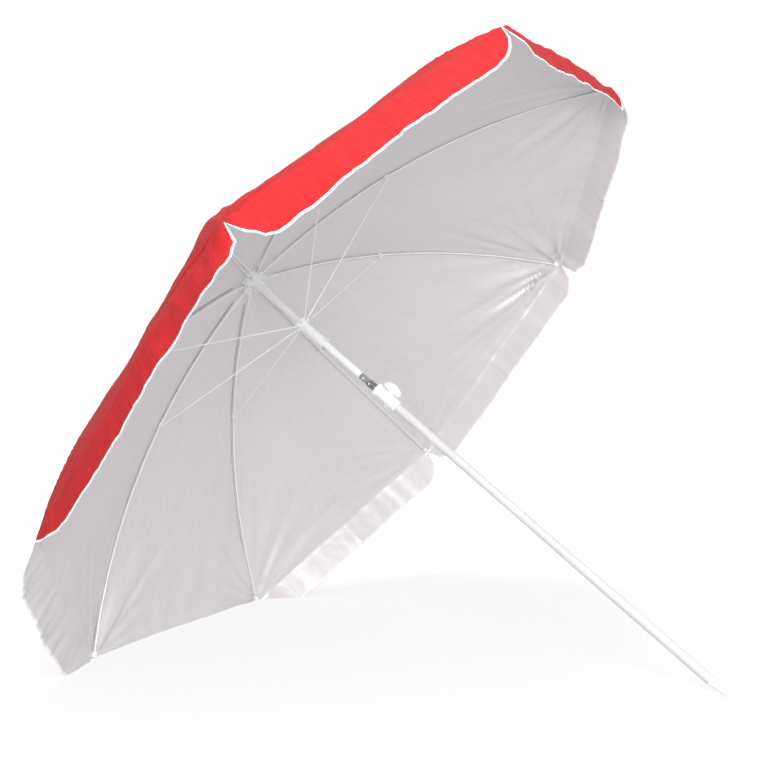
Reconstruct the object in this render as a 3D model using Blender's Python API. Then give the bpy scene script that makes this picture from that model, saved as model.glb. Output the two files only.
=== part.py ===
"""Beach umbrella: eight bowed ribs with stretchers and a runner on a two-part pole with a tilt joint.

Metres, +Z up the pole, origin at the blunt end of the ground spike. Rib 1 stands half a panel
past +X, so that X and Y both pass through the middle of a panel. The tilt axis is along X, the
canopy tilts towards +Y, and the clamp's knob is on the +Y side.
"""
import math

import bmesh
import bpy
from mathutils import Matrix, Vector

# overall sizes
crown_height = 1.476         # rib pivots above the end of the spike
rib_count = 8
rib_length = 0.975           # along the bowed wire, from its pivot
rib_bow_radius = 1.53
rib_start_slope = 3.5        # degrees below level at the crown
rib_radius = 0.002
rib_pivot_radius = 0.030     # radius of the crown's wire ring
stretcher_station = 0.395    # along the rib, from its pivot to the clip
stretcher_radius = 0.0015
runner_drop = 0.175          # runner's stretcher pivots below the rib pivots
runner_pivot_radius = 0.0195
valance_drop = 0.090         # at the middle of a panel
valance_end = 0.008          # at a rib's tip
valance_flare = 10.0         # degrees out from the pole's direction

# fits
gap = 0.0003                 # between pieces that touch
slide_gap = 0.0005           # between the runner's bore and the pole
hinge_gap = 0.0004           # round a pin or a wire
tongue_clearance = 0.00042   # between the tongue's corners and the upper pole's bore
pivot_below_rib = 0.0035     # underside of the rib to the clip's pin

# upper pole and the tilt joint
upper_radius = 0.0095
tube_wall = 0.0008
upper_pole_length = 0.381    # rib pivots down to its lower end
tilt_drop = 0.412            # rib pivots down to the tilt pin
tongue_thickness = 0.008
knuckle_shank = 0.022
tilt_pin_radius = 0.0025
button_radius = 0.0022
button_drop = 0.390

# lower pole and the clamp
lower_radius = 0.011
inner_pole_length = 0.600
clamp_drop = 0.434           # rib pivots down to the top of the clamp
clamp_length = 0.070
clamp_radius = 0.0148
clamp_grip = 0.024           # length of the clamp that holds the lower pole
clamp_rim_radius = 0.0175
clamp_rim_height = 0.006
boss_radius = 0.0085
boss_reach = 0.0195          # pole axis to the face of the screw's boss
screw_drop = 0.034           # top of the clamp to the screw
screw_radius = 0.003
nut_across = 0.010
nut_height = 0.0045
knob_hub_radius = 0.0065
knob_span = 0.050
knob_reach = 0.019
knob_thickness = 0.005
spike_length = 0.045
spike_end_radius = 0.003
spike_shank = 0.030

# crown
hub_radius = 0.015
hub_bottom = 0.022           # below the rib pivots
disc_radius = 0.036
disc_half_height = 0.005
slot_inner_radius = 0.0255
ring_wire_radius = 0.0009
eye_radius = 0.0030
plate_radius = 0.040
plate_thickness = 0.003
plate_teeth = 24
tooth_depth = 0.0025
cap_radius = 0.016
cap_height = 0.013
cap_stem_radius = 0.0036

# runner and its catch
runner_radius = 0.0132
runner_flange_radius = 0.0215
runner_flange_height = 0.010
runner_length = 0.081        # stretcher pivots down to its lower end
runner_rim_radius = 0.0148
runner_ring_radius = 0.0162
catch_width = 0.005
catch_tooth = 0.0035         # proud of the pole
catch_tooth_length = 0.012
catch_leaf_length = 0.055
catch_leaf_thickness = 0.001

# ribs' fittings and the canopy
clip_length = 0.012
clip_width = 0.0085
clip_wall = 0.0009
clip_pin_radius = 0.0011
tip_radius = 0.0032
tip_length = 0.018
tip_overhang = 0.006
fabric_thickness = 0.001
fabric_gap = 0.0006          # under the cloth at the crown, and between gores
fabric_clearance = 0.0025    # under the cloth along the ribs
canopy_hole_radius = 0.008
canopy_settle = 0.050        # length over which the cloth comes down from the crown to the ribs

white_paint = (0.86, 0.87, 0.88)
white_plastic = (0.90, 0.90, 0.91)
steel_grey = (0.46, 0.48, 0.47)
red_cloth = (0.80, 0.035, 0.045)

inner_bore = upper_radius - tube_wall
tongue_width = 2 * math.sqrt((inner_bore - tongue_clearance) ** 2 - (tongue_thickness / 2) ** 2)
clip_pivot_drop = rib_radius + pivot_below_rib
lower_bore = lower_radius - tube_wall
clamp_top = crown_height - clamp_drop
clamp_bottom = clamp_top - clamp_length
tilt_height = crown_height - tilt_drop
plate_bottom = disc_half_height + gap
plate_top = plate_bottom + plate_thickness
fabric_offset = max(tip_radius, rib_radius + gap + clip_wall) + fabric_clearance
panel_angle = 2 * math.pi / rib_count


def clear_scene():
    for item in list(bpy.data.objects):
        bpy.data.objects.remove(item, do_unlink=True)


def make_material(name, colour, roughness, metallic):
    material = bpy.data.materials.new(name)
    material.use_nodes = True
    shader = material.node_tree.nodes["Principled BSDF"]
    shader.inputs["Base Color"].default_value = (*colour, 1.0)
    shader.inputs["Roughness"].default_value = roughness
    shader.inputs["Metallic"].default_value = metallic
    return material


def to_mesh(bm, name):
    bmesh.ops.recalc_face_normals(bm, faces=bm.faces)
    mesh = bpy.data.meshes.new(name)
    bm.to_mesh(mesh)
    bm.free()
    return mesh


def place(name, mesh, finish, location=(0, 0, 0), turn=0.0, parent=None):
    """One node: a mesh at its place in the world, with a material of its own."""
    item = bpy.data.objects.new(name, mesh)
    bpy.context.scene.collection.objects.link(item)
    item.location = location
    item.rotation_euler = (0.0, 0.0, turn)
    if not mesh.materials:
        mesh.materials.append(make_material(name, *finish))
        mesh.shade_smooth()
        mesh.set_sharp_from_angle(angle=math.radians(35))
    if parent:
        bpy.context.view_layer.update()
        item.parent = parent
        item.matrix_parent_inverse = parent.matrix_world.inverted()
    return item


def turned(profile, steps=32, centre=(0, 0, 0)):
    """A profile of (radius, height) points spun round Z, left open where it meets the axis."""
    bm = bmesh.new()
    rows = [bm.verts.new((radius, 0, height)) for radius, height in profile]
    edges = [bm.edges.new(pair) for pair in zip(rows, rows[1:])]
    if profile[0][0] > 0:
        edges.append(bm.edges.new((rows[-1], rows[0])))
    bmesh.ops.spin(bm, geom=rows + edges, cent=(0, 0, 0), axis=(0, 0, 1),
                   angle=2 * math.pi, steps=steps, use_merge=True)
    bmesh.ops.remove_doubles(bm, verts=bm.verts, dist=1e-6)
    bmesh.ops.translate(bm, verts=bm.verts, vec=centre)
    return bm


def tube(outer, inner, bottom, top, steps=32):
    return turned([(outer, top), (outer, bottom), (inner, bottom), (inner, top)], steps)


def rod(radius, start, end, steps=16):
    """A round bar between two points."""
    start, end = Vector(start), Vector(end)
    along = end - start
    bm = bmesh.new()
    bmesh.ops.create_cone(
        bm, cap_ends=True, segments=steps, radius1=radius, radius2=radius, depth=along.length)
    turn = along.to_track_quat("Z", "Y").to_matrix().to_4x4()
    bmesh.ops.transform(bm, matrix=Matrix.Translation((start + end) / 2) @ turn, verts=bm.verts)
    return bm


def block(low, high):
    low, high = Vector(low), Vector(high)
    bm = bmesh.new()
    bmesh.ops.create_cube(bm, size=1.0)
    bmesh.ops.scale(bm, vec=high - low, verts=bm.verts)
    bmesh.ops.translate(bm, vec=(low + high) / 2, verts=bm.verts)
    return bm


def plate_of(outline, thickness):
    """A flat plate: an outline of (y, z) points, thickened evenly to both sides along X."""
    bm = bmesh.new()
    face = bm.faces.new([bm.verts.new((-thickness / 2, y, z)) for y, z in outline])
    grown = bmesh.ops.extrude_face_region(bm, geom=[face])
    moved = [part for part in grown["geom"] if isinstance(part, bmesh.types.BMVert)]
    bmesh.ops.translate(bm, verts=moved, vec=(thickness, 0, 0))
    return bm


def combine(base, tools, operation):
    """Joins, cuts or crosses the base with each tool in turn, and returns the resulting bmesh."""
    solid = bpy.data.objects.new("solid", to_mesh(base, "solid"))
    bpy.context.scene.collection.objects.link(solid)
    helpers = [solid]
    for number, tool in enumerate(tools):
        helper = bpy.data.objects.new("tool", to_mesh(tool, "tool"))
        bpy.context.scene.collection.objects.link(helper)
        step = solid.modifiers.new(f"step_{number}", "BOOLEAN")
        step.object = helper
        step.operation = operation
        step.solver = "EXACT"
        helpers.append(helper)
    bpy.context.view_layer.update()
    done = bmesh.new()
    done.from_object(solid, bpy.context.evaluated_depsgraph_get())
    bmesh.ops.remove_doubles(done, verts=done.verts, dist=1e-6)
    for helper in helpers:
        bpy.data.objects.remove(helper, do_unlink=True)
    return done


def cut(base, *tools):
    return combine(base, tools, "DIFFERENCE")


def join(base, *tools):
    return combine(base, tools, "UNION")


def arc(centre, radius, start, end, steps):
    """Points on an arc, its angles in degrees."""
    angles = [math.radians(start + (end - start) * n / steps) for n in range(steps + 1)]
    return [(centre[0] + radius * math.cos(a), centre[1] + radius * math.sin(a)) for a in angles]


def rib_slope(station):
    """The wire's angle below level at a length along it."""
    return math.radians(rib_start_slope) + station / rib_bow_radius


def rib_point(station, offset=0.0):
    """A point in the rib's own plane, from its pivot: so far along the wire and above it."""
    start, here = rib_slope(0), rib_slope(station)
    out = rib_bow_radius * (math.sin(here) - math.sin(start)) + offset * math.sin(here)
    up = rib_bow_radius * (math.cos(here) - math.cos(start)) + offset * math.cos(here)
    return Vector((out, 0, up))


def rib_turn(number):
    return panel_angle * (number - 0.5)


def rib_pivot(number):
    turn = rib_turn(number)
    return Vector((rib_pivot_radius * math.cos(turn), rib_pivot_radius * math.sin(turn), crown_height))


def along_rib(station):
    """A frame on the wire: X along it towards the tip, Z away from the pole's foot."""
    return Matrix.Translation(rib_point(station)) @ Matrix.Rotation(rib_slope(station), 4, "Y")


def pole_pieces(paint, plastic):
    tube_top = clamp_bottom + clamp_grip - gap
    lower_tube = tube(lower_radius, lower_bore, spike_length + gap, tube_top)
    place("lower_pole", to_mesh(lower_tube, "lower_pole"), paint)

    shank = lower_bore - gap
    shoulder = spike_length - 0.004
    shank_top = spike_length + spike_shank
    spike = turned([
        (0, 0), (spike_end_radius, 0), (lower_radius, shoulder), (lower_radius, spike_length),
        (shank, spike_length), (shank, shank_top), (0, shank_top),
    ])
    place("ground_spike", to_mesh(spike, "ground_spike"), plastic)

    inner_top = clamp_top + gap
    inner_tube = tube(upper_radius, inner_bore, inner_top - inner_pole_length, inner_top)
    inner = place("inner_pole", to_mesh(inner_tube, "inner_pole"), paint)

    bottom = crown_height - upper_pole_length
    top = crown_height + disc_half_height - plate_thickness - gap
    shell = tube(upper_radius, inner_bore, bottom, top)
    window_top = crown_height - runner_drop - runner_length - gap
    half = catch_width / 2 + gap
    window_bottom = window_top - catch_tooth_length - 2 * gap
    window = block((-half, -upper_radius - 0.002, window_bottom), (half, 0, window_top))
    upper = place("upper_pole", to_mesh(cut(shell, window), "upper_pole"), paint)
    return inner, upper


def clamp_pieces(plastic, steel):
    """A sleeve on the lower pole whose wing screw presses on the inner pole."""
    sleeve = turned([
        (clamp_radius, clamp_bottom),
        (lower_radius + gap, clamp_bottom),
        (lower_radius + gap, clamp_bottom + clamp_grip),
        (upper_radius + gap, clamp_bottom + clamp_grip),
        (upper_radius + gap, clamp_top),
        (clamp_rim_radius, clamp_top),
        (clamp_rim_radius, clamp_top - clamp_rim_height),
        (clamp_radius, clamp_top - clamp_rim_height - 0.002),
    ])
    height = clamp_top - screw_drop
    boss_inner = lower_radius + gap + 0.001
    boss = rod(boss_radius, (0, boss_inner, height), (0, boss_reach, height), 24)
    stud = rod(0.0045, (0, -boss_inner, clamp_bottom + clamp_grip / 2 + 0.016),
               (0, -clamp_radius - 0.003, clamp_bottom + clamp_grip / 2 + 0.016))
    hole = rod(screw_radius + gap, (0, 0, height), (0, boss_reach + 0.01, height), 16)
    nut_seat = boss_reach - nut_height - 2 * gap
    pocket = rod(nut_across / math.sqrt(3) + gap, (0, nut_seat, height), (0, boss_reach + 0.01, height), 6)
    collar = cut(join(sleeve, boss, stud), hole, pocket)
    place("clamp_collar", to_mesh(collar, "clamp_collar"), plastic)

    nut_start = nut_seat + gap
    nut = rod(nut_across / math.sqrt(3), (0, nut_start, height), (0, nut_start + nut_height, height), 6)
    hole = rod(screw_radius + gap, (0, 0, height), (0, boss_reach + 0.01, height), 16)
    place("clamp_nut", to_mesh(cut(nut, hole), "clamp_nut"), steel)

    face = boss_reach + gap
    screw_end = upper_radius + gap
    screw = rod(screw_radius, (0, screw_end, 0), (0, face + 0.010, 0), 16)
    knob_place = Vector((0, 0, height))
    knob_height = knob_reach
    wing = [(face, -knob_span / 2 + 0.004), (face + 0.004, -knob_span / 2)]
    wing += [(face + 0.004 + (knob_height - 0.004) * math.sin(math.radians(a)),
              -knob_span / 2 * math.cos(math.radians(a))) for a in range(15, 180, 15)]
    wing += [(face + 0.004, knob_span / 2), (face, knob_span / 2 - 0.004)]
    hub = rod(knob_hub_radius, (0, face, 0), (0, face + knob_height - 0.003, 0), 20)
    bore = rod(screw_radius + gap, (0, 0, 0), (0, face + 0.010 + gap, 0), 16)
    knob_mesh = to_mesh(cut(join(plate_of(wing, knob_thickness), hub), bore), "clamp_knob")
    knob = place("clamp_knob", knob_mesh, plastic, knob_place)
    place("clamp_screw", to_mesh(screw, "clamp_screw"), steel, knob_place, parent=knob)
    return knob


def tilt_pieces(plastic, steel, inner, upper):
    """A steel fork on the inner pole and a tongue in the upper pole, hinged on a pin along X."""
    slot = tongue_thickness / 2 + gap
    round_end = tongue_width / 2
    fork_bottom = clamp_top + 2 * gap - tilt_height
    cheek_top = upper_radius - 0.0015
    floor = -round_end - 0.0006
    reach = 2 * upper_radius

    body = rod(upper_radius, (0, 0, fork_bottom), (0, 0, cheek_top), 32)
    shank = rod(inner_bore - gap, (0, 0, fork_bottom - knuckle_shank), (0, 0, fork_bottom + 0.002), 32)
    mouth = block((-slot, -reach, floor), (slot, reach, cheek_top + 0.01))
    round_top = rod(cheek_top, (-0.03, 0, 0), (0.03, 0, 0), 32)
    rounding = cut(block((-reach, -reach, 0), (reach, reach, 0.03)), round_top)
    pin_hole = rod(tilt_pin_radius + gap, (-reach, 0, 0), (reach, 0, 0), 20)
    fork = cut(join(body, shank), mouth, rounding, pin_hole)
    centre = Vector((0, 0, tilt_height))
    fork_item = place("tilt_fork", to_mesh(fork, "tilt_fork"), steel, centre, parent=inner)

    pin_half = upper_radius - 0.0012
    pin = rod(tilt_pin_radius, (-pin_half, 0, 0), (pin_half, 0, 0), 20)
    place("tilt_pin", to_mesh(pin, "tilt_pin"), steel, centre, parent=fork_item)

    tube_end = tilt_drop - upper_pole_length
    button_height = tilt_drop - button_drop
    outline = arc((0, 0), round_end, 180, 360, 12)
    outline += [(round_end, tube_end + 0.002), (-round_end, tube_end + 0.002)]
    tongue = plate_of(outline, tongue_thickness)
    plug = rod(inner_bore - gap, (0, 0, tube_end + gap), (0, 0, tube_end + knuckle_shank), 32)
    tongue_pin_hole = rod(tilt_pin_radius + gap, (-reach, 0, 0), (reach, 0, 0), 20)
    button_hole = rod(button_radius + gap, (-reach, 0, button_height), (reach, 0, button_height), 16)
    tongue = cut(join(tongue, plug), tongue_pin_hole, button_hole)
    place("tilt_tongue", to_mesh(tongue, "tilt_tongue"), steel, centre, parent=upper)

    button = rod(button_radius, (-0.0062, 0, 0), (0.0062, 0, 0), 16)
    button_place = centre + Vector((0, 0, button_height))
    place("tilt_button", to_mesh(button, "tilt_button"), plastic, button_place, parent=upper)


def crown_pieces(plastic, steel, upper):
    """A slotted disc with the ribs on its wire ring, a toothed plate over it, a cap above the cloth."""
    roof = disc_half_height - plate_thickness
    bore = upper_radius + gap
    hub = turned([
        (hub_radius, -hub_bottom), (bore, -hub_bottom), (bore, roof), (cap_stem_radius + gap, roof),
        (cap_stem_radius + gap, disc_half_height), (disc_radius, disc_half_height),
        (disc_radius, -disc_half_height), (hub_radius, -disc_half_height),
    ], 48)
    half = rib_radius + hinge_gap
    slots = bmesh.new()
    for number in range(1, rib_count + 1):
        one = bmesh.ops.create_cube(slots, size=1.0)["verts"]
        long = disc_radius + 0.01 - slot_inner_radius
        bmesh.ops.scale(slots, vec=(long, 2 * half, 0.03), verts=one)
        bmesh.ops.translate(slots, vec=(slot_inner_radius + long / 2, 0, 0), verts=one)
        bmesh.ops.rotate(slots, matrix=Matrix.Rotation(rib_turn(number), 3, "Z"), verts=one)
    channel = ring_wire_radius + gap
    groove = turned([
        (rib_pivot_radius + channel, 0.01), (rib_pivot_radius + channel, -channel),
        (rib_pivot_radius - channel, -channel), (rib_pivot_radius - channel, 0.01),
    ], 48)
    centre = Vector((0, 0, crown_height))
    place("crown_hub", to_mesh(cut(hub, slots, groove), "crown_hub"), plastic, centre, parent=upper)

    wire = turned([(rib_pivot_radius + y, z) for y, z in arc((0, 0), ring_wire_radius, 0, 300, 5)], 48)
    place("crown_ring", to_mesh(wire, "crown_ring"), steel, centre, parent=upper)

    disc = bmesh.new()
    rim = []
    for number in range(plate_teeth):
        for share, reach in ((0.0, plate_radius), (0.5, plate_radius), (0.5, plate_radius - tooth_depth),
                             (1.0, plate_radius - tooth_depth)):
            angle = 2 * math.pi * (number + share) / plate_teeth
            rim.append((reach * math.cos(angle), reach * math.sin(angle)))
    face = disc.faces.new([disc.verts.new((x, y, plate_bottom)) for x, y in rim])
    grown = bmesh.ops.extrude_face_region(disc, geom=[face])
    moved = [part for part in grown["geom"] if isinstance(part, bmesh.types.BMVert)]
    bmesh.ops.translate(disc, verts=moved, vec=(0, 0, plate_thickness))
    stem_hole = rod(cap_stem_radius + gap, (0, 0, 0), (0, 0, 0.03), 20)
    place("crown_plate", to_mesh(cut(disc, stem_hole), "crown_plate"), plastic, centre, parent=upper)

    seat = plate_top + fabric_gap + fabric_thickness + gap
    rim_top = seat + 0.003
    dome = [(cap_radius * math.cos(math.radians(a)),
             rim_top + (cap_height - 0.003) * math.sin(math.radians(a))) for a in range(75, -1, -15)]
    cap = turned([(0, seat + cap_height), *dome, (cap_radius, seat), (cap_stem_radius, seat),
                  (cap_stem_radius, -0.006), (0, -0.006)])
    place("top_cap", to_mesh(cap, "top_cap"), plastic, centre, parent=upper)


def runner_pieces(plastic, steel, upper):
    """The sliding collar that the stretchers hang in, its wire ring, and the catch that holds it up."""
    bore = upper_radius + slide_gap
    half = runner_flange_height / 2
    sleeve = turned([
        (runner_flange_radius, half), (runner_flange_radius, -half), (runner_radius, -half - 0.003),
        (runner_radius, -runner_length + 0.006), (runner_rim_radius, -runner_length + 0.005),
        (runner_rim_radius, -runner_length), (bore, -runner_length), (bore, half),
    ])
    width = stretcher_radius + hinge_gap
    inner = runner_ring_radius - ring_wire_radius - gap
    slots = bmesh.new()
    for number in range(1, rib_count + 1):
        one = bmesh.ops.create_cube(slots, size=1.0)["verts"]
        long = runner_flange_radius + 0.01 - inner
        bmesh.ops.scale(slots, vec=(long, 2 * width, 0.05), verts=one)
        bmesh.ops.translate(slots, vec=(inner + long / 2, 0, 0), verts=one)
        bmesh.ops.rotate(slots, matrix=Matrix.Rotation(rib_turn(number), 3, "Z"), verts=one)
    channel = ring_wire_radius + gap
    groove = turned([
        (runner_ring_radius + channel, 0.02), (runner_ring_radius + channel, -channel),
        (runner_ring_radius - channel, -channel), (runner_ring_radius - channel, 0.02),
    ])
    centre = Vector((0, 0, crown_height - runner_drop))
    runner = place("runner", to_mesh(cut(sleeve, slots, groove), "runner"), plastic, centre, parent=upper)
    wire = turned([(runner_ring_radius + y, z) for y, z in arc((0, 0), ring_wire_radius, 0, 300, 5)], 32)
    place("runner_ring", to_mesh(wire, "runner_ring"), steel, centre, parent=runner)

    top = -gap * 2
    out = upper_radius + catch_tooth
    leaf = inner_bore - 0.0006
    outline = [
        (-out, top), (-leaf + catch_leaf_thickness, top),
        (-leaf + catch_leaf_thickness, -catch_leaf_length), (-leaf, -catch_leaf_length),
        (-leaf, -catch_tooth_length), (-out + 0.002, -catch_tooth_length + 0.003), (-out, -0.004),
    ]
    catch_place = Vector((0, 0, crown_height - runner_drop - runner_length))
    catch = plate_of(outline, catch_width)
    place("runner_catch", to_mesh(catch, "runner_catch"), steel, catch_place, parent=upper)


def rib_mesh():
    """The bowed wire, with a flattened eye round the crown's ring."""
    path = bpy.data.curves.new("rib_path", "CURVE")
    path.dimensions = "3D"
    path.bevel_depth = rib_radius
    path.bevel_resolution = 2
    path.use_fill_caps = True
    straight = clip_length / 2 + 0.003
    runs = [(eye_radius * 0.7, stretcher_station - straight, 5),
            (stretcher_station + straight, rib_length - tip_length, 6), (rib_length, rib_length, 0)]
    stations = [start + (end - start) * n / max(steps, 1)
                for start, end, steps in runs for n in range(steps + 1)]
    line = path.splines.new("POLY")
    line.points.add(len(stations) - 1)
    for station, point in zip(stations, line.points):
        point.co = (*rib_point(station), 1.0)
    carrier = bpy.data.objects.new("rib_path", path)
    bpy.context.scene.collection.objects.link(carrier)
    bpy.context.view_layer.update()
    wire = bmesh.new()
    swept = carrier.evaluated_get(bpy.context.evaluated_depsgraph_get()).to_mesh()
    wire.from_mesh(swept)
    bpy.data.objects.remove(carrier, do_unlink=True)
    bmesh.ops.remove_doubles(wire, verts=wire.verts, dist=1e-6)
    half = rib_radius * 0.75
    eye = rod(eye_radius, (0, -half, 0), (0, half, 0), 16)
    hole = rod(ring_wire_radius + hinge_gap, (0, -0.01, 0), (0, 0.01, 0), 12)
    return to_mesh(cut(join(wire, eye), hole), "rib")


def tip_mesh():
    """A moulded cap pushed over the end of the wire."""
    bore = rib_radius + gap
    inside = tip_length - tip_overhang
    cap = turned([
        (0, tip_overhang), (tip_radius * 0.6, tip_overhang), (tip_radius, tip_overhang - 0.002),
        (tip_radius, -inside + 0.002), (tip_radius * 0.9, -inside), (bore, -inside), (bore, gap), (0, gap),
    ], 12)
    matrix = along_rib(rib_length) @ Matrix.Rotation(math.pi / 2, 4, "Y")
    bmesh.ops.transform(cap, matrix=matrix, verts=cap.verts)
    return to_mesh(cap, "rib_tip")


def clip_mesh():
    """A clip that wraps the wire, with a fork and its pin below for the stretcher."""
    bore = rib_radius + gap
    above = bore + clip_wall
    below = clip_pivot_drop + 0.0028
    body = block((-clip_length / 2, -clip_width / 2, -below), (clip_length / 2, clip_width / 2, above))
    hole = rod(bore, (-0.02, 0, 0), (0.02, 0, 0), 16)
    slot = stretcher_radius + hinge_gap
    mouth = block((-0.02, -slot, -0.03), (0.02, slot, -bore - 0.0004))
    pin = rod(clip_pin_radius, (0, -clip_width / 2 + 0.0005, -clip_pivot_drop),
              (0, clip_width / 2 - 0.0005, -clip_pivot_drop), 12)
    clip = join(cut(body, hole, mouth), pin)
    bmesh.ops.transform(clip, matrix=along_rib(stretcher_station), verts=clip.verts)
    return to_mesh(clip, "rib_clip")


def clip_pivot():
    """The clip's pin, from the rib's pivot."""
    return rib_point(stretcher_station, -clip_pivot_drop)


def stretcher_mesh():
    """A straight wire from the clip's pin to the runner's slot, drawn from its eye."""
    inner_end = Vector((runner_pivot_radius - rib_pivot_radius, 0, -runner_drop)) - clip_pivot()
    eye_size = 0.0025
    start = inner_end.normalized() * eye_size * 0.7
    wire = rod(stretcher_radius, start, inner_end, 8)
    eye = rod(eye_size, (0, -stretcher_radius, 0), (0, stretcher_radius, 0), 12)
    hole = rod(clip_pin_radius + hinge_gap, (0, -0.01, 0), (0, 0.01, 0), 10)
    return to_mesh(cut(join(wire, eye), hole), "stretcher")


def canopy_stations():
    """Points of the cloth's underside over a rib, from the crown's hole to the hem."""
    flat = plate_top + fabric_gap
    edge = plate_radius + 0.002 - rib_pivot_radius
    points = [Vector((canopy_hole_radius - rib_pivot_radius, 0, flat)), Vector((edge, 0, flat))]
    lift = flat - rib_point(edge, fabric_offset).z
    hem = rib_length + tip_overhang + 0.002
    steps = 9
    for number in range(1, steps + 1):
        station = edge + (hem - edge) * (number / steps) ** 1.4
        point = rib_point(station, fabric_offset)
        point.z += lift * math.exp(-(station - edge) / canopy_settle)
        points.append(point)
    return points


def gore_mesh():
    """The cloth that one rib carries: half a panel to each side of it, with the valance."""
    halves = 4
    middle = Vector((rib_pivot_radius, 0, 0))
    flare = Vector((math.sin(math.radians(valance_flare)), 0, -math.cos(math.radians(valance_flare))))
    rows = [(point, 0.0) for point in canopy_stations()]
    rows += [(rows[-1][0], 0.35), (rows[-1][0], 1.0)]
    bm = bmesh.new()
    grid = []
    for point, share in rows:
        over_rib = point + middle
        line = []
        for column in range(-halves, halves + 1):
            side = 1 if column > 0 else -1
            across = abs(column) / halves
            next_rib = Matrix.Rotation(side * panel_angle, 3, "Z") @ over_rib
            outward = Matrix.Rotation(side * panel_angle / 2, 3, "Z") if column else Matrix.Identity(3)
            hang = valance_end + (valance_drop - valance_end) * (1 - (1 - across) ** 4) ** 0.5
            spot = over_rib.lerp(next_rib, across / 2) - middle + outward @ flare * share * hang
            if across == 1:
                seam = outward @ Vector((0, -side, 0))
                spot += seam * fabric_gap * 0.5
            line.append(bm.verts.new(spot))
        grid.append(line)
    for upper_line, lower_line in zip(grid, grid[1:]):
        for column in range(2 * halves):
            bm.faces.new((upper_line[column], lower_line[column],
                          lower_line[column + 1], upper_line[column + 1]))
    mesh = bpy.data.meshes.new("canopy_gore")
    bm.to_mesh(mesh)
    bm.free()
    return mesh


def rib_pieces(paint, plastic, cloth, upper):
    rib_shape = rib_mesh()
    tip_shape = tip_mesh()
    clip_shape = clip_mesh()
    stretcher_shape = stretcher_mesh()
    gore_shape = gore_mesh()
    for number in range(1, rib_count + 1):
        turn, pivot = rib_turn(number), rib_pivot(number)
        rib = place(f"rib_{number}", rib_shape, paint, pivot, turn, upper)
        place(f"rib_tip_{number}", tip_shape, plastic, pivot, turn, rib)
        place(f"rib_clip_{number}", clip_shape, plastic, pivot, turn, rib)
        arm = Matrix.Rotation(turn, 3, "Z") @ clip_pivot()
        place(f"stretcher_{number}", stretcher_shape, paint, pivot + arm, turn, rib)
        gore = place(f"canopy_gore_{number}", gore_shape, cloth, pivot, turn, rib)
        cover = gore.modifiers.new("thickness", "SOLIDIFY")
        cover.thickness = fabric_thickness
        cover.offset = 1.0


def main():
    clear_scene()
    paint = (white_paint, 0.35, 0.0)
    plastic = (white_plastic, 0.45, 0.0)
    steel = (steel_grey, 0.38, 1.0)
    cloth = (red_cloth, 0.7, 0.0)
    inner, upper = pole_pieces(paint, plastic)
    clamp_pieces(plastic, steel)
    tilt_pieces(plastic, steel, inner, upper)
    crown_pieces(plastic, steel, upper)
    runner_pieces(plastic, steel, upper)
    rib_pieces(paint, plastic, cloth, upper)


main()
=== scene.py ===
import math

import bmesh
import bpy
from mathutils import Matrix, Vector, noise


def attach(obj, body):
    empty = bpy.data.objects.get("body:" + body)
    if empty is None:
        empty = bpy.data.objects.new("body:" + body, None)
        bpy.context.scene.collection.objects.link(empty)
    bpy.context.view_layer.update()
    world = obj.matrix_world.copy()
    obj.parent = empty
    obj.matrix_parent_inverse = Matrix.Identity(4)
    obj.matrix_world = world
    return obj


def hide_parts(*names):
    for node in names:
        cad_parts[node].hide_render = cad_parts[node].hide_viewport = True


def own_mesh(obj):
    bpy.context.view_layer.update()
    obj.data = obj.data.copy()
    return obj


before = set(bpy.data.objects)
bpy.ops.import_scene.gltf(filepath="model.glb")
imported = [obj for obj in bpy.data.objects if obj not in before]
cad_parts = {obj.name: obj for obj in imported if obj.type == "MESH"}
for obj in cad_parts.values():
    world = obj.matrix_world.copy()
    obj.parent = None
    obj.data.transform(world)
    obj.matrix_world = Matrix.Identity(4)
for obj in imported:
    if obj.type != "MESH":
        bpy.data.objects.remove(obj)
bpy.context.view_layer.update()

# camera: low beside the umbrella, which lies on its rim and on the end of its pole
shot = {
    "place": (2.6619, 0.9596, 0.0235),
    "turn": (119.01, 45.22, 130.87),
    "lens": 59.64,
}

camera = bpy.data.objects.new("camera", bpy.data.cameras.new("camera"))
camera.location = shot["place"]
camera.rotation_euler = [math.radians(angle) for angle in shot["turn"]]
camera.data.lens = shot["lens"]
camera.data.sensor_width = 36
bpy.context.scene.collection.objects.link(camera)
bpy.context.scene.camera = camera
print("camera placed")


# helpers
def easeStep(low, high, value):
    share = min(max((value - low) / (high - low), 0.0), 1.0)
    return share * share * (3 - 2 * share)


def shapeGrid(bm, columns, rows, spot):
    # a flat grid, each point then moved to where spot puts its column and row
    points = bmesh.ops.create_grid(bm, x_segments=columns, y_segments=rows, size=1)["verts"]
    for number, point in enumerate(points):
        row, column = divmod(number, columns + 1)
        point.co = spot(column, row)
    return points


def sweepBand(bm, path, width, thickness, corners=10):
    # a rounded flat band along a path of (point, across, over)
    def onBand(corner, step):
        point, across, over = path[step]
        angle = math.tau * corner / corners
        return point + across * math.cos(angle) * width / 2 + over * math.sin(angle) * thickness / 2

    points = shapeGrid(bm, corners, len(path) - 1, onBand)
    bmesh.ops.remove_doubles(bm, verts=points, dist=1e-7)
    ends = [edge for edge in bm.edges if edge.is_boundary]
    bmesh.ops.holes_fill(bm, edges=ends, sides=corners)


def addStitch(bm, middle, along, over, length, width, height):
    made = bmesh.ops.create_uvsphere(bm, u_segments=6, v_segments=4, radius=0.5)["verts"]
    side = over.cross(along).normalized()
    frameOf = Matrix((side * width, over * height, along * length)).transposed().to_4x4()
    frameOf.translation = middle
    bmesh.ops.transform(bm, matrix=frameOf, verts=made)


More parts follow.
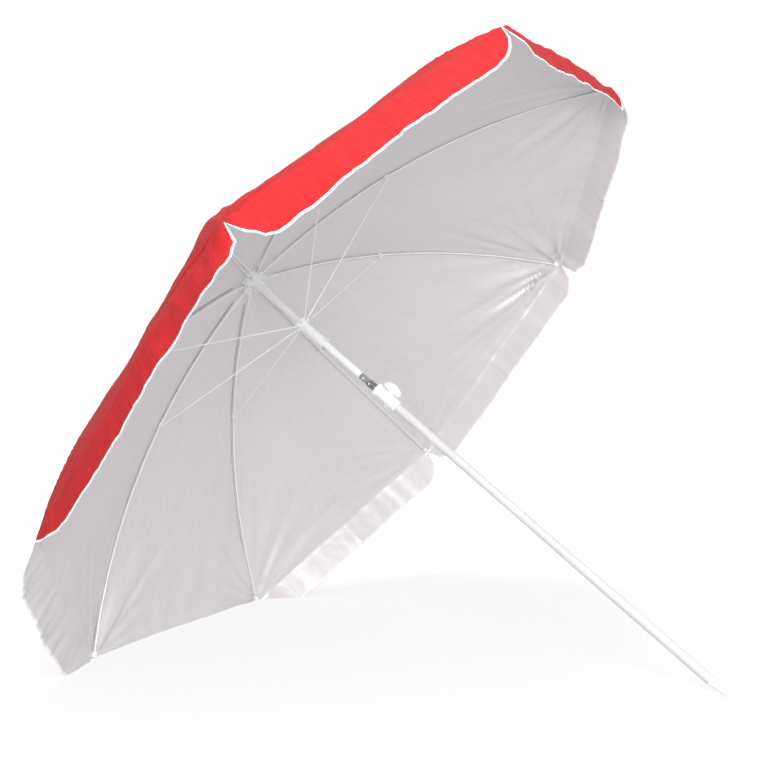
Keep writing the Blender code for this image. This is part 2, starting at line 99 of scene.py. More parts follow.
def finishPiece(bm, name, materials, sharp=None):
    bmesh.ops.recalc_face_normals(bm, faces=bm.faces[:])
    mesh = bpy.data.meshes.new(name)
    bm.to_mesh(mesh)
    bm.free()
    for material in materials:
        mesh.materials.append(material)
    mesh.shade_smooth()
    if sharp:
        mesh.set_sharp_from_angle(angle=math.radians(sharp))
    piece = bpy.data.objects.new(name, mesh)
    bpy.context.scene.collection.objects.link(piece)
    return piece


# materials
class Finish:
    # one Principled material and short ways to hang nodes on it

    def __init__(self, name, colour, roughness, metallic=0.0):
        self.material = bpy.data.materials.new(name)
        self.material.use_nodes = True
        self.nodes = self.material.node_tree.nodes
        self.links = self.material.node_tree.links
        self.shader = self.nodes["Principled BSDF"]
        self.shader.inputs["Base Color"].default_value = (*colour, 1)
        self.shader.inputs["Roughness"].default_value = roughness
        self.shader.inputs["Metallic"].default_value = metallic
        self.height = None

    def node(self, kind, **settings):
        made = self.nodes.new(kind)
        for key, value in settings.items():
            setattr(made, key, value)
        return made

    def objectSpace(self, stretch=(1, 1, 1)):
        place = self.node("ShaderNodeMapping")
        place.inputs["Scale"].default_value = stretch
        self.links.new(self.node("ShaderNodeTexCoord").outputs["Object"], place.inputs["Vector"])
        return place.outputs["Vector"]

    def clothSpace(self, stretch=(1, 1, 1)):
        place = self.node("ShaderNodeMapping")
        place.inputs["Scale"].default_value = stretch
        self.links.new(self.node("ShaderNodeUVMap", uv_map="cloth").outputs["UV"], place.inputs["Vector"])
        return place.outputs["Vector"]

    def noise(self, space, scale, detail=3.0, roughness=0.5):
        made = self.node("ShaderNodeTexNoise")
        made.inputs["Scale"].default_value = scale
        made.inputs["Detail"].default_value = detail
        made.inputs["Roughness"].default_value = roughness
        self.links.new(space, made.inputs["Vector"])
        return made.outputs["Fac"]

    def threads(self, space, scale, direction):
        made = self.node("ShaderNodeTexWave", wave_type="BANDS", bands_direction=direction)
        made.inputs["Scale"].default_value = scale
        made.inputs["Distortion"].default_value = 0.4
        made.inputs["Detail"].default_value = 1.0
        self.links.new(space, made.inputs["Vector"])
        return made.outputs["Fac"]

    def ramp(self, value, stops):
        made = self.node("ShaderNodeValToRGB")
        for element, (place, colour) in zip(made.color_ramp.elements, (stops[0], stops[-1])):
            element.position = place
            element.color = (*colour, 1)
        for place, colour in stops[1:-1]:
            made.color_ramp.elements.new(place).color = (*colour, 1)
        self.links.new(value, made.inputs["Fac"])
        return made.outputs["Color"]

    def colour(self, value, stops):
        self.links.new(self.ramp(value, stops), self.shader.inputs["Base Color"])

    def rough(self, value, low, high):
        made = self.node("ShaderNodeMapRange")
        made.inputs["To Min"].default_value = low
        made.inputs["To Max"].default_value = high
        self.links.new(value, made.inputs["Value"])
        self.links.new(made.outputs["Result"], self.shader.inputs["Roughness"])

    def bump(self, value, distance, strength=1.0):
        made = self.node("ShaderNodeBump")
        made.inputs["Distance"].default_value = distance
        made.inputs["Strength"].default_value = strength
        self.links.new(value, made.inputs["Height"])
        if self.height:
            self.links.new(self.height, made.inputs["Normal"])
        self.height = made.outputs["Normal"]
        self.links.new(self.height, self.shader.inputs["Normal"])


def polePaintFinish(name, dark, light):
    finish = Finish(name, light, 0.3)
    finish.shader.inputs["Coat Weight"].default_value = 0.25
    finish.shader.inputs["Coat Roughness"].default_value = 0.12
    space = finish.objectSpace()
    cloudy = finish.noise(space, 14, 4)
    finish.colour(cloudy, [(0.3, dark), (0.7, light)])
    finish.rough(finish.noise(space, 60, 3), 0.24, 0.38)
    finish.bump(finish.noise(space, 700, 2), 0.00012, 0.5)
    return finish.material


def wirePaintFinish():
    finish = Finish("wirePaint", (0.84, 0.84, 0.84), 0.34)
    finish.shader.inputs["Coat Weight"].default_value = 0.15
    space = finish.objectSpace()
    finish.colour(finish.noise(space, 40, 4), [(0.3, (0.80, 0.80, 0.81)), (0.7, (0.88, 0.88, 0.88))])
    finish.rough(finish.noise(space, 150, 2), 0.28, 0.42)
    finish.bump(finish.noise(space, 1600, 2), 0.00006, 0.4)
    return finish.material


def whitePlasticFinish():
    finish = Finish("whitePlastic", (0.82, 0.82, 0.83), 0.4)
    finish.shader.inputs["Subsurface Weight"].default_value = 0.08
    finish.shader.inputs["Subsurface Radius"].default_value = (0.004, 0.004, 0.004)
    finish.shader.inputs["Subsurface Scale"].default_value = 0.5
    space = finish.objectSpace()
    finish.colour(finish.noise(space, 55, 3), [(0.3, (0.78, 0.78, 0.79)), (0.7, (0.86, 0.86, 0.87))])
    finish.rough(finish.noise(space, 260, 3), 0.32, 0.5)
    finish.bump(finish.noise(space, 2600, 2), 0.00005, 0.6)
    return finish.material


def steelFinish(name, dark, light):
    finish = Finish(name, light, 0.35, 1.0)
    fine = finish.objectSpace((400, 400, 60))
    finish.colour(finish.noise(finish.objectSpace(), 220, 4), [(0.3, dark), (0.7, light)])
    finish.rough(finish.noise(fine, 3, 3), 0.26, 0.5)
    finish.bump(finish.noise(fine, 5, 2), 0.00004, 0.5)
    return finish.material


weave = {"threadsPerMetre": 2400, "slub": (90, 7, 1), "crush": 38}


def redClothFinish():
    finish = Finish("redCloth", (0.50, 0.018, 0.022), 0.75)
    finish.shader.inputs["Sheen Weight"].default_value = 0.03
    finish.shader.inputs["Sheen Roughness"].default_value = 0.4
    finish.shader.inputs["Sheen Tint"].default_value = (1.0, 0.35, 0.32, 1)
    finish.shader.inputs["Specular IOR Level"].default_value = 0.16
    flat = finish.clothSpace()
    slub = finish.noise(finish.clothSpace(weave["slub"]), 3, 4, 0.6)
    reds = [(0.25, (0.37, 0.012, 0.015)), (0.5, (0.43, 0.016, 0.019)), (0.75, (0.52, 0.024, 0.027))]
    finish.colour(slub, reds)
    finish.rough(slub, 0.68, 0.82)
    finish.bump(finish.noise(flat, weave["crush"], 6, 0.6), 0.0016, 0.35)
    finish.bump(finish.threads(flat, weave["threadsPerMetre"] / math.tau, "X"), 0.00006, 0.5)
    finish.bump(finish.threads(flat, weave["threadsPerMetre"] / math.tau, "Y"), 0.00006, 0.5)
    return finish.material


def silverLiningFinish():
    finish = Finish("silverLining", (0.74, 0.71, 0.73), 0.42, 0.35)
    flat = finish.clothSpace()
    worn = finish.noise(finish.clothSpace(weave["slub"]), 2, 5, 0.6)
    finish.colour(worn, [(0.25, (0.735, 0.702, 0.719)), (0.75, (0.785, 0.757, 0.774))])
    finish.rough(finish.noise(flat, 30, 5), 0.34, 0.5)
    finish.bump(finish.noise(flat, weave["crush"], 7, 0.62), 0.0018, 0.4)
    finish.bump(finish.threads(flat, weave["threadsPerMetre"] / math.tau, "X"), 0.00005, 0.4)
    finish.bump(finish.threads(flat, weave["threadsPerMetre"] / math.tau, "Y"), 0.00005, 0.4)
    return finish.material


def whiteTapeFinish():
    finish = Finish("whiteTape", (0.86, 0.86, 0.87), 0.7)
    finish.shader.inputs["Sheen Weight"].default_value = 0.2
    space = finish.objectSpace()
    finish.colour(finish.noise(space, 120, 4), [(0.3, (0.80, 0.80, 0.82)), (0.7, (0.90, 0.90, 0.91))])
    finish.bump(finish.noise(space, 900, 4, 0.65), 0.0004, 0.6)
    return finish.material


def threadFinish(name, colour):
    finish = Finish(name, colour, 0.6)
    finish.bump(finish.noise(finish.objectSpace(), 3500, 3), 0.0002, 0.5)
    return finish.material


whitePaint = polePaintFinish("whitePaint", (0.76, 0.76, 0.775), (0.84, 0.84, 0.845))
# painted shade: a greyer copy of the same white pole paint, used on the lower pole so that it looks darker
# under these lights; the real pole is one white paint
shadedPolePaint = polePaintFinish("shadedPolePaint", (0.60, 0.60, 0.62), (0.66, 0.66, 0.675))
wirePaint = wirePaintFinish()
whitePlastic = whitePlasticFinish()
zincSteel = steelFinish("zincSteel", (0.46, 0.48, 0.46), (0.62, 0.64, 0.62))
darkSteel = steelFinish("darkSteel", (0.22, 0.23, 0.22), (0.36, 0.38, 0.36))
redCloth = redClothFinish()
silverLining = silverLiningFinish()
whiteTape = whiteTapeFinish()
sewingThread = threadFinish("sewingThread", (0.80, 0.79, 0.80))
redThread = threadFinish("redThread", (0.45, 0.02, 0.03))
print("materials made")


# the carried-over nodes get their finishes
nodeFinishes = {
    # painted shade: the lower pole gets the greyer copy of its white paint
    "lower_pole": shadedPolePaint, "inner_pole": whitePaint, "upper_pole": whitePaint,
    "ground_spike": whitePlastic, "clamp_collar": whitePlastic, "clamp_knob": whitePlastic,
    "clamp_screw": zincSteel, "clamp_nut": zincSteel,
    "tilt_fork": darkSteel, "tilt_tongue": zincSteel,
    "tilt_pin": whitePlastic, "tilt_button": whitePlastic,
    "crown_hub": whitePlastic, "crown_plate": whitePlastic,
    "crown_ring": zincSteel, "top_cap": whitePlastic,
    "runner": whitePlastic, "runner_ring": zincSteel, "runner_catch": zincSteel,
    "rib_tip": whitePlastic, "rib_clip": whitePlastic, "rib": wirePaint, "stretcher": wirePaint,
}
for name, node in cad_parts.items():
    finish = nodeFinishes.get(name) or nodeFinishes.get(name.rstrip("0123456789").rstrip("_"))
    if finish:
        for place in range(len(node.material_slots)):
            node.material_slots[place].material = finish


# the canopy: eight panels sewn along the ribs, each panel shared between its two ribs' gores
canopy = {
    "ribs": 8,
    "pivotRadius": 0.030,
    "pivotHeight": 1.476,
    "bowRadius": 1.53,
    "startSlope": 3.5,
    "hem": 0.983,            # along the rib, from its pivot
    "edge": 0.012,           # the crown plate's rim, from the pivot
    "crownLift": 0.0095,     # outer face above the pivots at the crown
    "aboveRib": 0.0052,      # outer face above the rib's centre
    "settle": 0.05,
    "hole": 0.008,
    "sides": 40,             # columns to each side of the rib
    "rows": 132,
    "thickness": 0.0005,
    "sag": 0.010,            # inward, at the middle of a panel
    "rimBulge": 0.006,
}

valance = {
    "drop": 0.088,
    "end": 0.008,            # beside a rib's tip
    "rows": 16,
    "bend": 0.014,           # length over which the cloth turns down
    "flares": (5, -15, -6, -10, 4, -40, 72, 30),      # degrees out from the pole, panel by panel
    # the same beside the two ribs of each panel
    "endFlares": ((-20, 5), (-15, -15), (-6, -6), (-10, -10), (4, 4), (-40, -30), (60, 72), (30, 34)),
    "waves": (0.0012, 0.0022, 0.0016, 0.0018, 0.0013, 0.0045, 0.010, 0.002),
    # squareness of the corners beside the two ribs
    "corners": ((11, 6), (9, 9), (9, 11), (11, 8), (9, 9), (8, 7), (7, 7), (5, 11)),
    "lobe": 0.07,            # how far the rounded corners hang below the rest
    "joinStep": 0.0028,      # where the valance is joined at a panel's middle
}

pull = {
    # how strongly the cloth gathers at each rib's tip
    "tipFolds": (0.9, 0.8, 1.3, 1.7, 1.0, 1.0, 0.8, 0.7),
    "tipHeight": 0.0048,
    "seamHeight": 0.0014,
    "seamPitch": 0.021,
    "hemHeight": 0.0011,
    "softHeight": 0.0070,
}

ribStep = math.tau / canopy["ribs"]
clothLength = canopy["pivotRadius"] + canopy["hem"]


def ribAngle(number):
    return ribStep * (number - 0.5)


def overRib(run):
    # the cloth's outer face above a rib: (radius, height), a length along the cloth from the axis
    station = run - canopy["pivotRadius"]
    top = canopy["pivotHeight"] + canopy["crownLift"]
    start = math.radians(canopy["startSlope"])

    def onBow(length):
        bow, above = canopy["bowRadius"], canopy["aboveRib"]
        slope = start + length / bow
        out = bow * (math.sin(slope) - math.sin(start)) + above * math.sin(slope)
        up = bow * (math.cos(slope) - math.cos(start)) + above * math.cos(slope)
        return canopy["pivotRadius"] + out, canopy["pivotHeight"] + up

    if station <= canopy["edge"]:
        return run, top
    edgeRadius, edgeHeight = onBow(canopy["edge"])
    radius, height = onBow(station)
    lift = (top - edgeHeight) * math.exp(-(station - canopy["edge"]) / canopy["settle"])
    return radius, height + lift


runs = [canopy["hole"] + (clothLength - canopy["hole"]) * (row / canopy["rows"]) ** 0.93
        for row in range(canopy["rows"] + 1)]
profile = [overRib(run) for run in runs]


def ribSpot(number, row):
    radius, height = profile[row]
    return Vector((radius * math.cos(ribAngle(number)), radius * math.sin(ribAngle(number)), height))


def wrinkle(panel, share, row):
    # how far the cloth stands off the straight line between its two ribs
    run = runs[row]
    width = 2 * profile[row][0] * math.sin(ribStep / 2)
    across = (share - 0.5) * width
    fromSeam = (0.5 - abs(share - 0.5)) * width
    along = run / clothLength
    hold = easeStep(0.0, 0.045, fromSeam)
    bow = math.sin(math.pi * share)
    height = -canopy["sag"] * bow * math.sin(math.pi * along ** 1.4)
    height += canopy["rimBulge"] * bow * easeStep(0.72, 1.0, along)
    seed = 17.3 * ((panel - 1) % canopy["ribs"])
    soft = pull["softHeight"] * hold * along
    height += soft * noise.noise(Vector((across * 5.5, run * 2.6, seed)))
    height += 0.45 * soft * noise.noise(Vector((across * 17, run * 6, seed + 5)))
    height += 0.0007 * hold * noise.noise(Vector((across * 60, run * 34, seed + 9)))
    for side in (-1, 1):
        rib = (panel - 1 if side < 0 else panel) % canopy["ribs"]
        half = profile[-1][0] * math.sin(ribStep / 2)
        sideways = half - side * across
        back = clothLength - run
        reach = math.hypot(sideways, back)
        turn = math.atan2(back, sideways)
        strength = pull["tipFolds"][rib] * pull["tipHeight"]
        seedHere = Vector((turn * 5.2, reach * 2.2, seed + 4 * side))
        rays = 1.1 - 4.2 * abs(noise.noise(seedHere)) + 0.8 * noise.noise(seedHere * 2.3)
        fade = math.exp(-(reach / 0.27) ** 1.5) * easeStep(0.0, 0.05, reach)
        fade *= easeStep(0.0, 0.02, fromSeam)
        height += strength * fade * rays
    beside = math.exp(-fromSeam / 0.020) * easeStep(0.0, 0.003, fromSeam) * easeStep(0.05, 0.16, along)
    drift = 4 * noise.noise(Vector((run * 9, seed, share)))
    pucker = math.sin(math.tau * run / pull["seamPitch"] + drift)
    height += pull["seamHeight"] * beside * pucker
    height -= 0.0008 * math.exp(-(fromSeam / 0.0035) ** 2) * easeStep(0.05, 0.12, along)
    hemward = math.exp(-(clothLength - run) / 0.035)
    ruffle = noise.noise(Vector((across * 34, run * 3, seed + 21)))
    height += pull["hemHeight"] * hemward * hold * ruffle * 2
    return height


def panelColumn(panel, share):
    # one line of cloth down a panel, from the crown to the valance's edge
    leftTurn, rightTurn = ribAngle(panel), ribAngle(panel + 1)
    spots = []
    for row in range(len(runs)):
        left, right = ribSpot(panel, row), ribSpot(panel + 1, row)
        spots.append(left.lerp(right, share))
    middleTurn = (leftTurn + rightTurn) / 2
    sideways = Vector((-math.sin(middleTurn), math.cos(middleTurn), 0))
    moved = []
    for row, spot in enumerate(spots):
        ahead = spots[min(row + 1, len(spots) - 1)] - spots[max(row - 1, 0)]
        outwards = ahead.cross(sideways).normalized()
        if outwards.z < 0:
            outwards.negate()
        moved.append(spot + outwards * wrinkle(panel, share, row))
    # down the valance
    nearRib = 1 - easeStep(0.0, 0.09, 0.5 - abs(share - 0.5))
    ribTurn = leftTurn if share < 0.5 else rightTurn
    turn = middleTurn * (1 - nearRib) + ribTurn * nearRib
    outward = Vector((math.cos(turn), math.sin(turn), 0))
    own = (panel - 1) % canopy["ribs"]
    endFlare = valance["endFlares"][own][0 if share < 0.5 else 1]
    across = 1 - 2 * abs(share - 0.5)
    flare = endFlare + (valance["flares"][own] - endFlare) * easeStep(0.1, 0.7, across)
    besidePanel, besideSide = (panel - 2, 1) if share < 0.5 else (panel, 0)
    otherFlare = valance["endFlares"][besidePanel % canopy["ribs"]][besideSide]
    flare += ((endFlare + otherFlare) / 2 - flare) * nearRib
    last = moved[-1] - moved[-2]
    startAngle = math.atan2(-last.z, last.dot(outward))
    endAngle = math.radians(90 - flare)
    square = valance["corners"][own][0 if share < 0.5 else 1]
    hang = valance["end"] + (valance["drop"] - valance["end"]) * (1 - (1 - across) ** square) ** 0.5
    hang *= 1 + valance["lobe"] * math.exp(-((across - 0.17) / 0.09) ** 2)
    hang *= 1 + 0.02 * noise.noise(Vector((share * 9, own * 3.1, 2.0)))
    wave = valance["waves"][own]
    width = 2 * profile[-1][0] * math.sin(ribStep / 2)
    steps = valance["rows"]
    spot, before = moved[-1].copy(), 0.0
    for row in range(1, steps + 1):
        here = hang * (row / steps) ** 1.15
        angle = startAngle + (endAngle - startAngle) * easeStep(0.0, valance["bend"], (here + before) / 2)
        spot = spot + (outward * math.cos(angle) - Vector((0, 0, math.sin(angle)))) * (here - before)
        over = outward * math.sin(angle) + Vector((0, 0, math.cos(angle)))
        down = here / valance["drop"]
        ripple = noise.noise(Vector((share * width * 9, own * 7.7, here * 3)))
        ripple += 0.5 * noise.noise(Vector((share * width * 24, own * 3.3 + 8, here * 9)))
        lifted = wave * down * ripple * 1.6 * easeStep(0.0, 0.10, across)
        fine = noise.noise(Vector((share * width * 70, own * 5.1, here * 40)))
        lifted += 0.0009 * fine * easeStep(0.0, 0.3, down)
        fromJoin = (0.5 - share) * width
        joinReach = 0.04 if fromJoin > 0 else 0.003
        lifted -= valance["joinStep"] * down * math.exp(-abs(fromJoin) / joinReach)
        moved.append(spot + over * lifted)
        before = here
    return moved


def goreColumns(rib):
    # every line of the cloth that one rib carries, from one side to the other
    sides = canopy["sides"]
    columns = []
    for column in range(-sides, sides + 1):
        across = (abs(column) / sides) ** 0.92 / 2
        if column < 0:
            columns.append(panelColumn(rib - 1, 1 - across))
        else:
            columns.append(panelColumn(rib, across))
    return columns


def flatSpots(columns):
    # where each point of the cloth lies on the flat cut
    sides = canopy["sides"]
    flats = []
    for number, column in enumerate(columns):
        share = abs(number - sides) / sides
        side = -1 if number < sides else 1
        line, length = [], canopy["hole"]
        for row, spot in enumerate(column):
            if row:
                length += (spot - column[row - 1]).length
            radius = profile[min(row, len(profile) - 1)][0]
            line.append((side * share ** 0.92 * radius * math.sin(ribStep / 2), length))
        flats.append(line)
    return flats


def rideWithRib(piece, rib):
    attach(piece, f"rib_{rib}_body")
    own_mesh(piece)


binding = {"width": 0.0056, "thickness": 0.0021, "stitch": 0.0036, "past": 0.0006}


# each gore is cut into three lengths, because cloth gathers less beside the crown when it folds
goreLengths = {"Crown": (0.0, 0.13, 0.68), "Middle": (0.13, 0.36, 0.48), "Rim": (0.36, 2.0, 0.34)}


def makeGore(rib):
    columns = goreColumns(rib)
    flats = flatSpots(columns)
    extras = [makeBinding(rib, columns), makeSeam(rib, columns[canopy["sides"]])]
    for part, (start, end, keep) in goreLengths.items():
        firstRow = sum(run < start for run in runs)
        lastRow = sum(run < end for run in runs) if end < clothLength else len(columns[0]) - 1
        bm = bmesh.new()
        layer = bm.loops.layers.uv.new("cloth")
        rows = lastRow - firstRow
        shapeGrid(bm, len(columns) - 1, rows, lambda column, row: columns[column][firstRow + row])
        bm.verts.index_update()
        for face in bm.faces:
            for loop in face.loops:
                row, column = divmod(loop.vert.index, len(columns))
                loop[layer].uv = flats[column][firstRow + row]
        for edge in bm.edges:
            edge.smooth = not edge.is_boundary
        bmesh.ops.recalc_face_normals(bm, faces=bm.faces[:])
        if sum(face.normal.z for face in bm.faces) < 0:
            bmesh.ops.reverse_faces(bm, faces=bm.faces[:])
        mesh = bpy.data.meshes.new(f"canopyGore{part}{rib}")
        bm.to_mesh(mesh)
        bm.free()
        for material in (redCloth, silverLining):
            mesh.materials.append(material)
        mesh.shade_smooth()
        gore = bpy.data.objects.new(f"canopyGore{part}{rib}", mesh)
        bpy.context.scene.collection.objects.link(gore)
        backing = gore.modifiers.new("lining", "SOLIDIFY")
        backing.thickness = canopy["thickness"]
        backing.offset = -1
        backing.material_offset = 1
        backing.material_offset_rim = 1
        rideWithRib(gore, rib)
        lastShown = min(lastRow, len(profile) - 1)
        halfStep = math.sin(ribStep / 2)
        cutWidth = 2 * profile[lastShown][0] * halfStep
        cutArea = sum((profile[row][0] + profile[row + 1][0]) * halfStep * (runs[row + 1] - runs[row])
                      for row in range(firstRow, lastShown))
        if part == "Rim":
            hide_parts(f"canopy_gore_{rib}")
            cutArea += cutWidth * valance["drop"] * 0.88


def makeBinding(rib, columns):
    # the folded white tape over the valance's edge, and its stitches
    path = []
    for number, column in enumerate(columns):
        before = columns[max(number - 1, 0)][-1]
        after = columns[min(number + 1, len(columns) - 1)][-1]
        along = (after - before).normalized()
        down = column[-1] - column[-3]
        down = (down - along * down.dot(along)).normalized()
        over = along.cross(down).normalized()
        path.append((column[-1] - down * (binding["width"] / 2 - binding["past"]), down, over))
    bm = bmesh.new()
    sweepBand(bm, path, binding["width"], binding["thickness"])
    tape = finishPiece(bm, f"edgeBinding{rib}", [whiteTape])
    rideWithRib(tape, rib)
    bm = bmesh.new()
    run, due = 0.0, binding["stitch"] / 2
    for (spot, down, over), (later, _, _) in zip(path, path[1:]):
        step = later - spot
        while due <= run + step.length:
            middle = spot + step * ((due - run) / step.length) - down * binding["width"] * 0.26
            addStitch(bm, middle, step.normalized(), over, binding["stitch"] * 0.68, 0.00045,
                      binding["thickness"] + 0.0003)
            due += binding["stitch"]
        run += step.length
    stitches = finishPiece(bm, f"edgeStitches{rib}", [sewingThread])
    rideWithRib(stitches, rib)
    return tape


seam = {"start": 0.07, "stop": 0.012, "width": 0.0065, "hang": 0.0016, "thickness": 0.0007,
        "under": 0.0012, "aside": 0.0004}


def makeSeam(rib, column):
    # the seam allowance folded to one side under the cloth, along the rib
    turn = ribAngle(rib)
    sideways = Vector((-math.sin(turn), math.cos(turn), 0))
    picked = [number for number, run in enumerate(runs) if seam["start"] < run < clothLength - seam["stop"]]
    path = []
    for number in picked:
        along = (column[number + 1] - column[number - 1]).normalized()
        below = sideways.cross(along).normalized()
        if below.z > 0:
            below.negate()
        flutter = noise.noise(Vector((runs[number] * 26, rib * 4.4, 1.0)))
        across = (sideways * seam["width"] + below * seam["hang"] * (1 + 0.5 * flutter)).normalized()
        middle = column[number] + below * seam["under"] + sideways * seam["aside"]
        middle += across * seam["width"] / 2
        path.append((middle, across, across.cross(along).normalized()))
    bm = bmesh.new()
    sweepBand(bm, path, seam["width"], seam["thickness"], corners=8)
    allowance = finishPiece(bm, f"seamAllowance{rib}", [silverLining])
    uvs = allowance.data.uv_layers.new(name="cloth")
    for loop in allowance.data.loops:
        spot = allowance.data.vertices[loop.vertex_index].co
        uvs.data[loop.index].uv = (spot.dot(sideways), math.hypot(spot.x, spot.y))
    rideWithRib(allowance, rib)
    return allowance


for rib in range(1, canopy["ribs"] + 1):
    makeGore(rib)
print("canopy sewn")


# small sewn parts: tip pockets, thread ties and the patch round the crown
tipPocket = {"back": 0.013, "length": 0.014, "halfWidth": 0.0060, "depth": 0.0092, "thickness": 0.0009,
             "under": 0.0024}


def ribFrame(rib, station):
    # a place on the rib's centre line, with the directions along it, across it and away from the cloth
    turn = ribAngle(rib)
    outward = Vector((math.cos(turn), math.sin(turn), 0))
    sideways = Vector((-math.sin(turn), math.cos(turn), 0))
    start = math.radians(canopy["startSlope"])
    slope = start + station / canopy["bowRadius"]
    out = canopy["pivotRadius"] + canopy["bowRadius"] * (math.sin(slope) - math.sin(start))
    up = canopy["pivotHeight"] + canopy["bowRadius"] * (math.cos(slope) - math.cos(start))
    along = outward * math.cos(slope) - Vector((0, 0, math.sin(slope)))
    below = -outward * math.sin(slope) - Vector((0, 0, math.cos(slope)))
    return outward * out + Vector((0, 0, up)), along, sideways, below


def makeTipPocket(rib):
    centre, along, sideways, below = ribFrame(rib, canopy["hem"] - tipPocket["back"])
    cloth = centre - below * (canopy["aboveRib"] - tipPocket["under"])
    path = []
    for step in range(17):
        angle = math.pi * step / 16
        swell = math.sin(angle) ** 0.75
        spot = cloth + sideways * math.cos(angle) * tipPocket["halfWidth"]
        spot += below * swell * tipPocket["depth"]
        over = (sideways * math.cos(angle) + below * (math.sin(angle) + 0.15)).normalized()
        path.append((spot, along, over))
    bm = bmesh.new()
    sweepBand(bm, path, tipPocket["length"], tipPocket["thickness"], corners=12)
    pocket = finishPiece(bm, f"tipPocket{rib}", [whiteTape])
    rideWithRib(pocket, rib)


ribTie = {"stations": (0.17, 0.30, 0.56, 0.70, 0.84), "radius": 0.0033, "thread": 0.0004, "wraps": 3,
          "pitch": 0.0009, "lift": 0.0006}


def makeRibTies(rib):
    bm = bmesh.new()
    for station in ribTie["stations"]:
        for wrap in range(ribTie["wraps"]):
            centre, along, sideways, below = ribFrame(rib, station + wrap * ribTie["pitch"])
            middle = centre - below * ribTie["lift"]
            ring = bmesh.ops.create_circle(bm, segments=6, radius=ribTie["thread"])
            standUp = Matrix((sideways, along, below)).transposed().to_4x4()
            standUp.translation = middle + sideways * ribTie["radius"]
            bmesh.ops.transform(bm, matrix=standUp, verts=ring["verts"])
            turned = [edge for edge in bm.edges if edge.is_wire]
            bmesh.ops.spin(bm, geom=turned + ring["verts"], cent=middle, axis=along,
                           dvec=(0, 0, 0), angle=math.tau, steps=20, use_merge=True,
                           use_normal_flip=False, use_duplicate=False)
    ties = finishPiece(bm, f"ribTies{rib}", [sewingThread])
    rideWithRib(ties, rib)


crownPatch = {
    "inner": 0.0085,
    "outer": 0.047,
    "lift": 0.0004,
    "thickness": 0.0006,
    "around": 96,
    "rows": 10,
    "stitchRadius": 0.043,
    "stitch": 0.003,
}


def onCrown(turn, radius, lift):
    # a point over the cloth near the crown
    fromRib = (turn - ribAngle(1)) % ribStep
    run = radius * math.cos(ribStep / 2 - fromRib) / math.cos(ribStep / 2)
    overRadius, height = overRib(run)
    return Vector((radius * math.cos(turn), radius * math.sin(turn), height + lift))


def makeCrownPatch():
    bm = bmesh.new()
    layer = bm.loops.layers.uv.new("cloth")

    def spot(column, row):
        wide = crownPatch["outer"] - crownPatch["inner"]
        radius = crownPatch["inner"] + wide * row / crownPatch["rows"]
        return onCrown(math.tau * column / crownPatch["around"], radius, crownPatch["lift"])

    points = shapeGrid(bm, crownPatch["around"], crownPatch["rows"], spot)
    for face in bm.faces:
        for loop in face.loops:
            loop[layer].uv = loop.vert.co.xy
    bmesh.ops.remove_doubles(bm, verts=points, dist=1e-6)
    bmesh.ops.recalc_face_normals(bm, faces=bm.faces[:])
    if sum(face.normal.z for face in bm.faces) > 0:
        bmesh.ops.reverse_faces(bm, faces=bm.faces[:])
    bmesh.ops.solidify(bm, geom=bm.faces[:], thickness=crownPatch["thickness"])
    patch = finishPiece(bm, "crownPatch", [redCloth], sharp=50)
    bm = bmesh.new()
    count = int(math.tau * crownPatch["stitchRadius"] / crownPatch["stitch"])
    for number in range(count):
        turn = math.tau * number / count
        middle = onCrown(turn, crownPatch["stitchRadius"], crownPatch["lift"] + crownPatch["thickness"])
        addStitch(bm, middle, Vector((-math.sin(turn), math.cos(turn), 0)), Vector((0, 0, 1)),
                  crownPatch["stitch"] * 0.7, 0.0005, 0.0005)
    stitches = finishPiece(bm, "crownPatchStitches", [redThread])
    for piece in (patch, stitches):
        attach(piece, "upper_pole_body")


for rib in range(1, canopy["ribs"] + 1):
    makeTipPocket(rib)
    makeRibTies(rib)
makeCrownPatch()
print("pockets, ties and crown patch sewn")


# stage: a pale floor under the rim and the pole's foot, soft light all round; the floor glows, and the glow
# the camera sees is dimmer round the object, a painted shadow added to the real one
studio = {
    "floorTilt": -52.88,
    "floorDrop": 0.004,
    "floorSize": 14.0,
    "paintedShadowGlow": 0.69,       # painted shadow: the glow the camera sees near the object
    "floorBounce": 0.38,     # as it lights the object
    "shadowMiddle": (0.1, -0.35, 0.45),
    "shadowReach": (0.9, 2.4),
    "world": 0.74,           # what lights the object
    "backdrop": 1.05,        # what shows behind it
}


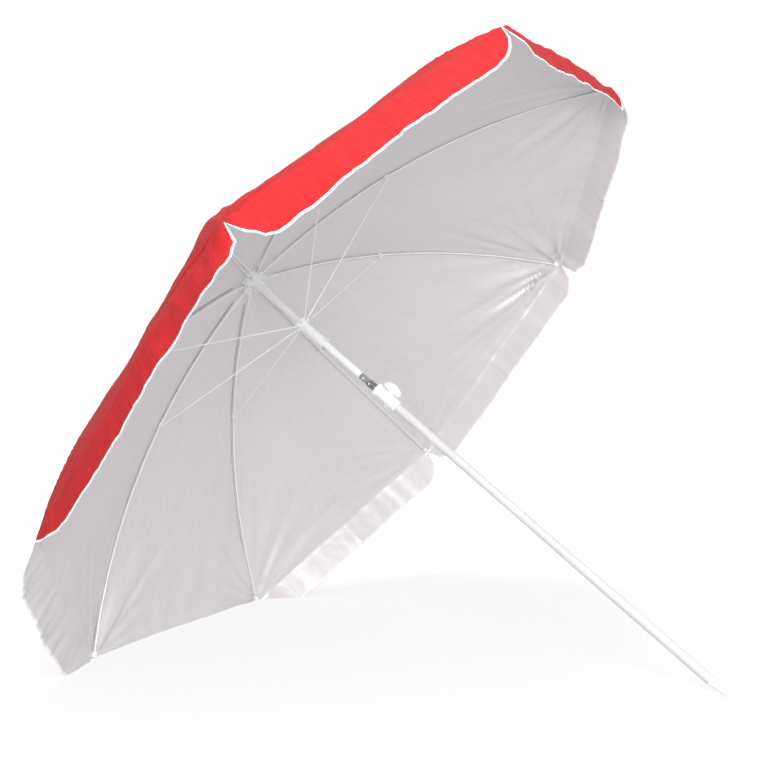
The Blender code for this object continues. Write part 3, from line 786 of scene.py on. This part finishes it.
def makeFloor():
    bm = bmesh.new()
    bmesh.ops.create_grid(bm, x_segments=1, y_segments=1, size=studio["floorSize"] / 2)
    lean = Matrix.Rotation(math.radians(studio["floorTilt"]), 4, "X")
    lower = Matrix.Translation((0, 0, -studio["floorDrop"]))
    bmesh.ops.transform(bm, verts=bm.verts[:], matrix=lean @ lower)
    mesh = bpy.data.meshes.new("floor")
    bm.to_mesh(mesh)
    bm.free()
    finish = Finish("floorWhite", (0.25, 0.25, 0.25), 0.9)
    finish.shader.inputs["Emission Color"].default_value = (1, 1, 1, 1)
    distance = finish.node("ShaderNodeVectorMath", operation="DISTANCE")
    finish.links.new(finish.objectSpace(), distance.inputs[0])
    distance.inputs[1].default_value = studio["shadowMiddle"]
    # painted shadow: seen by the camera, the floor's glow rises from the shadow level near shadowMiddle to
    # the backdrop's brightness beyond shadowReach
    glow = finish.node("ShaderNodeMapRange", interpolation_type="SMOOTHSTEP")
    glow.inputs["From Min"].default_value, glow.inputs["From Max"].default_value = studio["shadowReach"]
    glow.inputs["To Min"].default_value = studio["paintedShadowGlow"] - studio["floorBounce"]
    glow.inputs["To Max"].default_value = studio["backdrop"] - studio["floorBounce"]
    finish.links.new(distance.outputs["Value"], glow.inputs["Value"])
    strength = finish.node("ShaderNodeMath", operation="MULTIPLY_ADD")
    finish.links.new(finish.node("ShaderNodeLightPath").outputs["Is Camera Ray"], strength.inputs[0])
    finish.links.new(glow.outputs["Result"], strength.inputs[1])
    strength.inputs[2].default_value = studio["floorBounce"]
    finish.links.new(strength.outputs["Value"], finish.shader.inputs["Emission Strength"])
    clear = finish.node("ShaderNodeBsdfTransparent")
    mix = finish.node("ShaderNodeMixShader")
    finish.links.new(finish.node("ShaderNodeNewGeometry").outputs["Backfacing"], mix.inputs["Fac"])
    finish.links.new(finish.shader.outputs["BSDF"], mix.inputs[1])
    finish.links.new(clear.outputs["BSDF"], mix.inputs[2])
    finish.links.new(mix.outputs["Shader"], finish.nodes["Material Output"].inputs["Surface"])
    mesh.materials.append(finish.material)
    floor = bpy.data.objects.new("floor", mesh)
    bpy.context.scene.collection.objects.link(floor)


def addSoftLight(name, place, target, size, power):
    lamp = bpy.data.lights.new(name, "AREA")
    lamp.shape = "DISK"
    lamp.size = size
    lamp.energy = power
    holder = bpy.data.objects.new(name, lamp)
    holder.location = place
    holder.rotation_euler = (Vector(target) - Vector(place)).to_track_quat("-Z", "Y").to_euler()
    bpy.context.scene.collection.objects.link(holder)


makeFloor()
world = bpy.data.worlds.new("studio")
bpy.context.scene.world = world
world.use_nodes = True
worldNodes, worldLinks = world.node_tree.nodes, world.node_tree.links
worldNodes["Background"].inputs["Color"].default_value = (1, 1, 1, 1)
worldNodes["Background"].inputs["Strength"].default_value = studio["world"]
shown = worldNodes.new("ShaderNodeBackground")
shown.inputs["Color"].default_value = (1, 1, 1, 1)
shown.inputs["Strength"].default_value = studio["backdrop"]
choice = worldNodes.new("ShaderNodeMixShader")
worldLinks.new(worldNodes.new("ShaderNodeLightPath").outputs["Is Camera Ray"], choice.inputs["Fac"])
worldLinks.new(worldNodes["Background"].outputs["Background"], choice.inputs[1])
worldLinks.new(shown.outputs["Background"], choice.inputs[2])
worldLinks.new(choice.outputs["Shader"], worldNodes["World Output"].inputs["Surface"])
addSoftLight("overhead", (0, 2.9, 3.1), (0, -0.2, 0.9), 1.3, 62)
addSoftLight("front", (2.6, 1.7, 0.35), (0, 0, 1.15), 1.6, 90)
bpy.context.scene.view_settings.view_transform = "Standard"
bpy.context.scene.view_settings.look = "None"
print("stage set")
